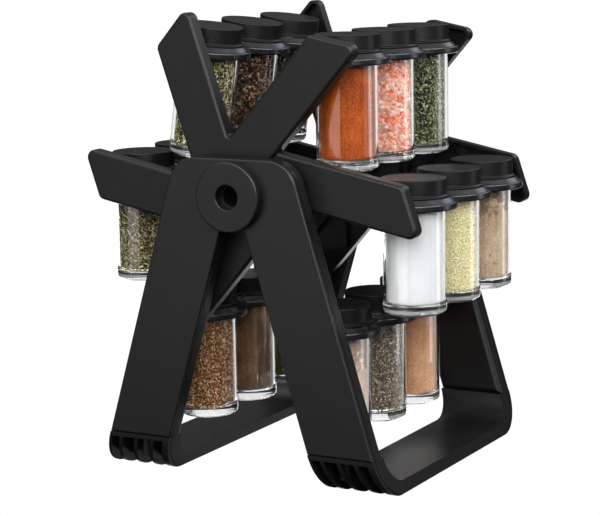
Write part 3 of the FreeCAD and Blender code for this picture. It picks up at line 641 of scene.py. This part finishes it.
# what each jar holds, from front to rear
CONTENTS = {"top_left": ("dry_herb", "red_herb", "grey_herb"),
            "top_right": ("paprika", "rock_salt", "parsley"),
            "right": ("white_salt", "sesame", "ginger"),
            "left": ("thyme", "dry_herb", "olive_mix"),
            "lower_left": ("cumin", "clove", "olive_mix"),
            "lower_right": ("garlic", "pepper", "cinnamon")}


# ---------------------------------------------------------------- the eighteen jars

def jar_matrix(tray, place):
    """Where a jar stands: its tray's pivot, the tray's tilt, and its place along the tray."""
    pivot = Vector(JOINTS[tray + "_tray_swing"]["pos_m"])
    low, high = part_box(SINGLE_TRAY + "_" + place + "_jar_glass")
    along = Matrix.Translation((0.0, (low.y + high.y) / 2.0, 0.0))
    tilt = Matrix.Rotation(TILT if tray == TILTED_TRAY else 0.0, 4, "Y")
    return Matrix.Translation(pivot) @ tilt @ along


def settle(piece, tray, place, kind):
    """Puts a piece in its jar's place, on the right body, in the stead of its CAD node."""
    piece.matrix_world = jar_matrix(tray, place)
    bpy.context.view_layer.update()
    if tray == SINGLE_TRAY:
        jar = tray + "_" + place + "_jar"
        body = jar + "_lid_body" if kind == "lid" else jar
        node = jar + "_" + kind
    else:
        body = tray + "_tray"
        node = tray + "_jars_" + kind
    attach(piece, body)
    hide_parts(node)


def make_jars():
    glass_verts, glass_faces = turned(glass_profile(), GLASS_SEGMENTS)
    glass_verts = heel_teeth(glass_verts)
    in_base = [all(glass_verts[v][2] < JAR_BOTTOM + JAR_BASE for v in face) for face in glass_faces]
    lid_shape = turned(lid_profile(), LID_SEGMENTS)
    seed = 0
    for tray in TRAYS:
        for place, content in zip(PLACES, CONTENTS[tray]):
            seed += 1
            name = tray + "_" + place + "_"
            glass = new_piece(name + "glass", glass_verts, glass_faces, MATERIAL_OF_SLOT["clear_glass"])
            glass.data.materials.append(GLASS_BASE)
            glass.data.polygons.foreach_set("material_index", in_base)
            settle(glass, tray, place, "glass")
            lid = new_piece(name + "lid", *lid_shape, MATERIAL_OF_SLOT["lid_plastic"])
            settle(lid, tray, place, "lid")
            if content in GRAIN_RECIPES:
                fill = grain_filling(name + "filling", GRAIN_RECIPES[content], GRAIN_PAINTS[content], seed)
            else:
                fill = powder_filling(name + "filling", POWDER_PAINTS[content], seed)
            settle(fill, tray, place, "fill")


finish_cad_nodes()
make_jars()


# ---------------------------------------------------------------- camera and light

CAMERA_AZIMUTH = math.radians(28.744)
CAMERA_ELEVATION = math.radians(9.543)
CAMERA_ROLL = math.radians(-1.022)
CAMERA_DISTANCE = 1.5614
CAMERA_AIM = Vector((-0.0121, 0.0, 0.1470))
CAMERA_LENS = 123.27
PANEL_AIM = Vector((0.0, 0.0, 0.18))
PANEL_DISTANCE = 1.6
WORLD_WHITE = 1.05
WORLD_LOW = 0.05
WORLD_HIGH = 0.7


def make_camera():
    forward = Vector((-math.sin(CAMERA_AZIMUTH) * math.cos(CAMERA_ELEVATION),
                      math.cos(CAMERA_AZIMUTH) * math.cos(CAMERA_ELEVATION), -math.sin(CAMERA_ELEVATION)))
    level = Vector((math.cos(CAMERA_AZIMUTH), math.sin(CAMERA_AZIMUTH), 0.0))
    upward = level.cross(forward)
    right = level * math.cos(CAMERA_ROLL) + upward * math.sin(CAMERA_ROLL)
    up = upward * math.cos(CAMERA_ROLL) - level * math.sin(CAMERA_ROLL)
    camera = bpy.data.objects.new("camera", bpy.data.cameras.new("camera"))
    camera.data.sensor_width = 36.0
    camera.data.lens = CAMERA_LENS
    rotation = Matrix((right, up, -forward)).transposed()
    camera.matrix_world = Matrix.Translation(CAMERA_AIM - forward * CAMERA_DISTANCE) @ rotation.to_4x4()
    bpy.context.scene.collection.objects.link(camera)
    bpy.context.scene.camera = camera


def make_panel(name, azimuth, elevation, size, brightness, tint=(1.0, 1.0, 1.0)):
    """Soft box that faces the object. Azimuth 0 is in front, 90 at the right. Brightness is how it looks."""
    a, e = math.radians(azimuth), math.radians(elevation)
    outward = Vector((math.sin(a) * math.cos(e), -math.cos(a) * math.cos(e), math.sin(e)))
    light = bpy.data.lights.new(name, "AREA")
    light.shape = "RECTANGLE"
    light.size, light.size_y = size
    light.color = tint
    light.energy = brightness * math.pi * size[0] * size[1]
    lamp = bpy.data.objects.new(name, light)
    lamp.location = PANEL_AIM + outward * PANEL_DISTANCE
    lamp.rotation_euler = (-outward).to_track_quat("-Z", "Y").to_euler()
    bpy.context.scene.collection.objects.link(lamp)


def make_world():
    """White to the eye and through glass; what lights the object is dark low down and bright overhead."""
    world = bpy.data.worlds.new("studio")
    world.use_nodes = True
    nodes, links = world.node_tree.nodes, world.node_tree.links
    seen = nodes["Background"]
    seen.inputs["Color"].default_value = (1.0, 1.0, 1.0, 1.0)
    seen.inputs["Strength"].default_value = WORLD_WHITE
    around = nodes.new("ShaderNodeBackground")
    around.inputs["Color"].default_value = (0.96, 0.98, 1.0, 1.0)
    coords = nodes.new("ShaderNodeTexCoord")
    split = nodes.new("ShaderNodeSeparateXYZ")
    ramp = nodes.new("ShaderNodeMapRange")
    ramp.interpolation_type = "SMOOTHSTEP"
    ramp.inputs["From Min"].default_value = 0.15
    ramp.inputs["From Max"].default_value = 0.75
    ramp.inputs["To Min"].default_value = WORLD_LOW
    ramp.inputs["To Max"].default_value = WORLD_HIGH
    links.new(coords.outputs["Generated"], split.inputs["Vector"])
    links.new(split.outputs["Z"], ramp.inputs["Value"])
    links.new(ramp.outputs["Result"], around.inputs["Strength"])
    path = nodes.new("ShaderNodeLightPath")

    def math_node(operation, first, second):
        node = nodes.new("ShaderNodeMath")
        node.operation = operation
        for socket, value in zip(node.inputs, (first, second)):
            if isinstance(value, float):
                socket.default_value = value
            else:
                links.new(value, socket)
        return node.outputs["Value"]

    through = math_node("MAXIMUM", path.outputs["Is Camera Ray"], path.outputs["Is Transmission Ray"])
    unscattered = math_node("LESS_THAN", path.outputs["Diffuse Depth"], 0.5)
    unreflected = math_node("LESS_THAN", path.outputs["Glossy Depth"], 0.5)
    backward = math_node("GREATER_THAN", split.outputs["Y"], 0.1)
    clear = math_node("MAXIMUM", unreflected, backward)
    blend = nodes.new("ShaderNodeMixShader")
    links.new(math_node("MULTIPLY", math_node("MULTIPLY", through, unscattered), clear), blend.inputs["Fac"])
    links.new(around.outputs["Background"], blend.inputs[1])
    links.new(seen.outputs["Background"], blend.inputs[2])
    links.new(blend.outputs["Shader"], nodes["World Output"].inputs["Surface"])
    bpy.context.scene.world = world


def make_light():
    make_world()
    make_panel("front_panel", -20.0, 6.0, (1.35, 1.3), 1.25)
    make_panel("front_top", 18.0, 38.0, (1.9, 0.9), 7.5)
    make_panel("low_right", 34.0, 14.0, (1.4, 0.4), 9.0)
    make_panel("right_top", 85.0, 36.0, (1.1, 0.9), 7.5)
    make_panel("right_strip", 119.0, 8.0, (0.4, 1.4), 2.6)
    make_panel("left_low", -148.0, -24.0, (1.7, 0.95), 3.0)
    make_panel("left_top", -75.0, 58.0, (1.0, 1.0), 2.5)
    make_panel("back_top", 156.0, 30.0, (0.9, 0.6), 2.2, (0.84, 0.87, 1.0))
    bpy.context.scene.view_settings.view_transform = "Standard"


make_camera()
make_light()
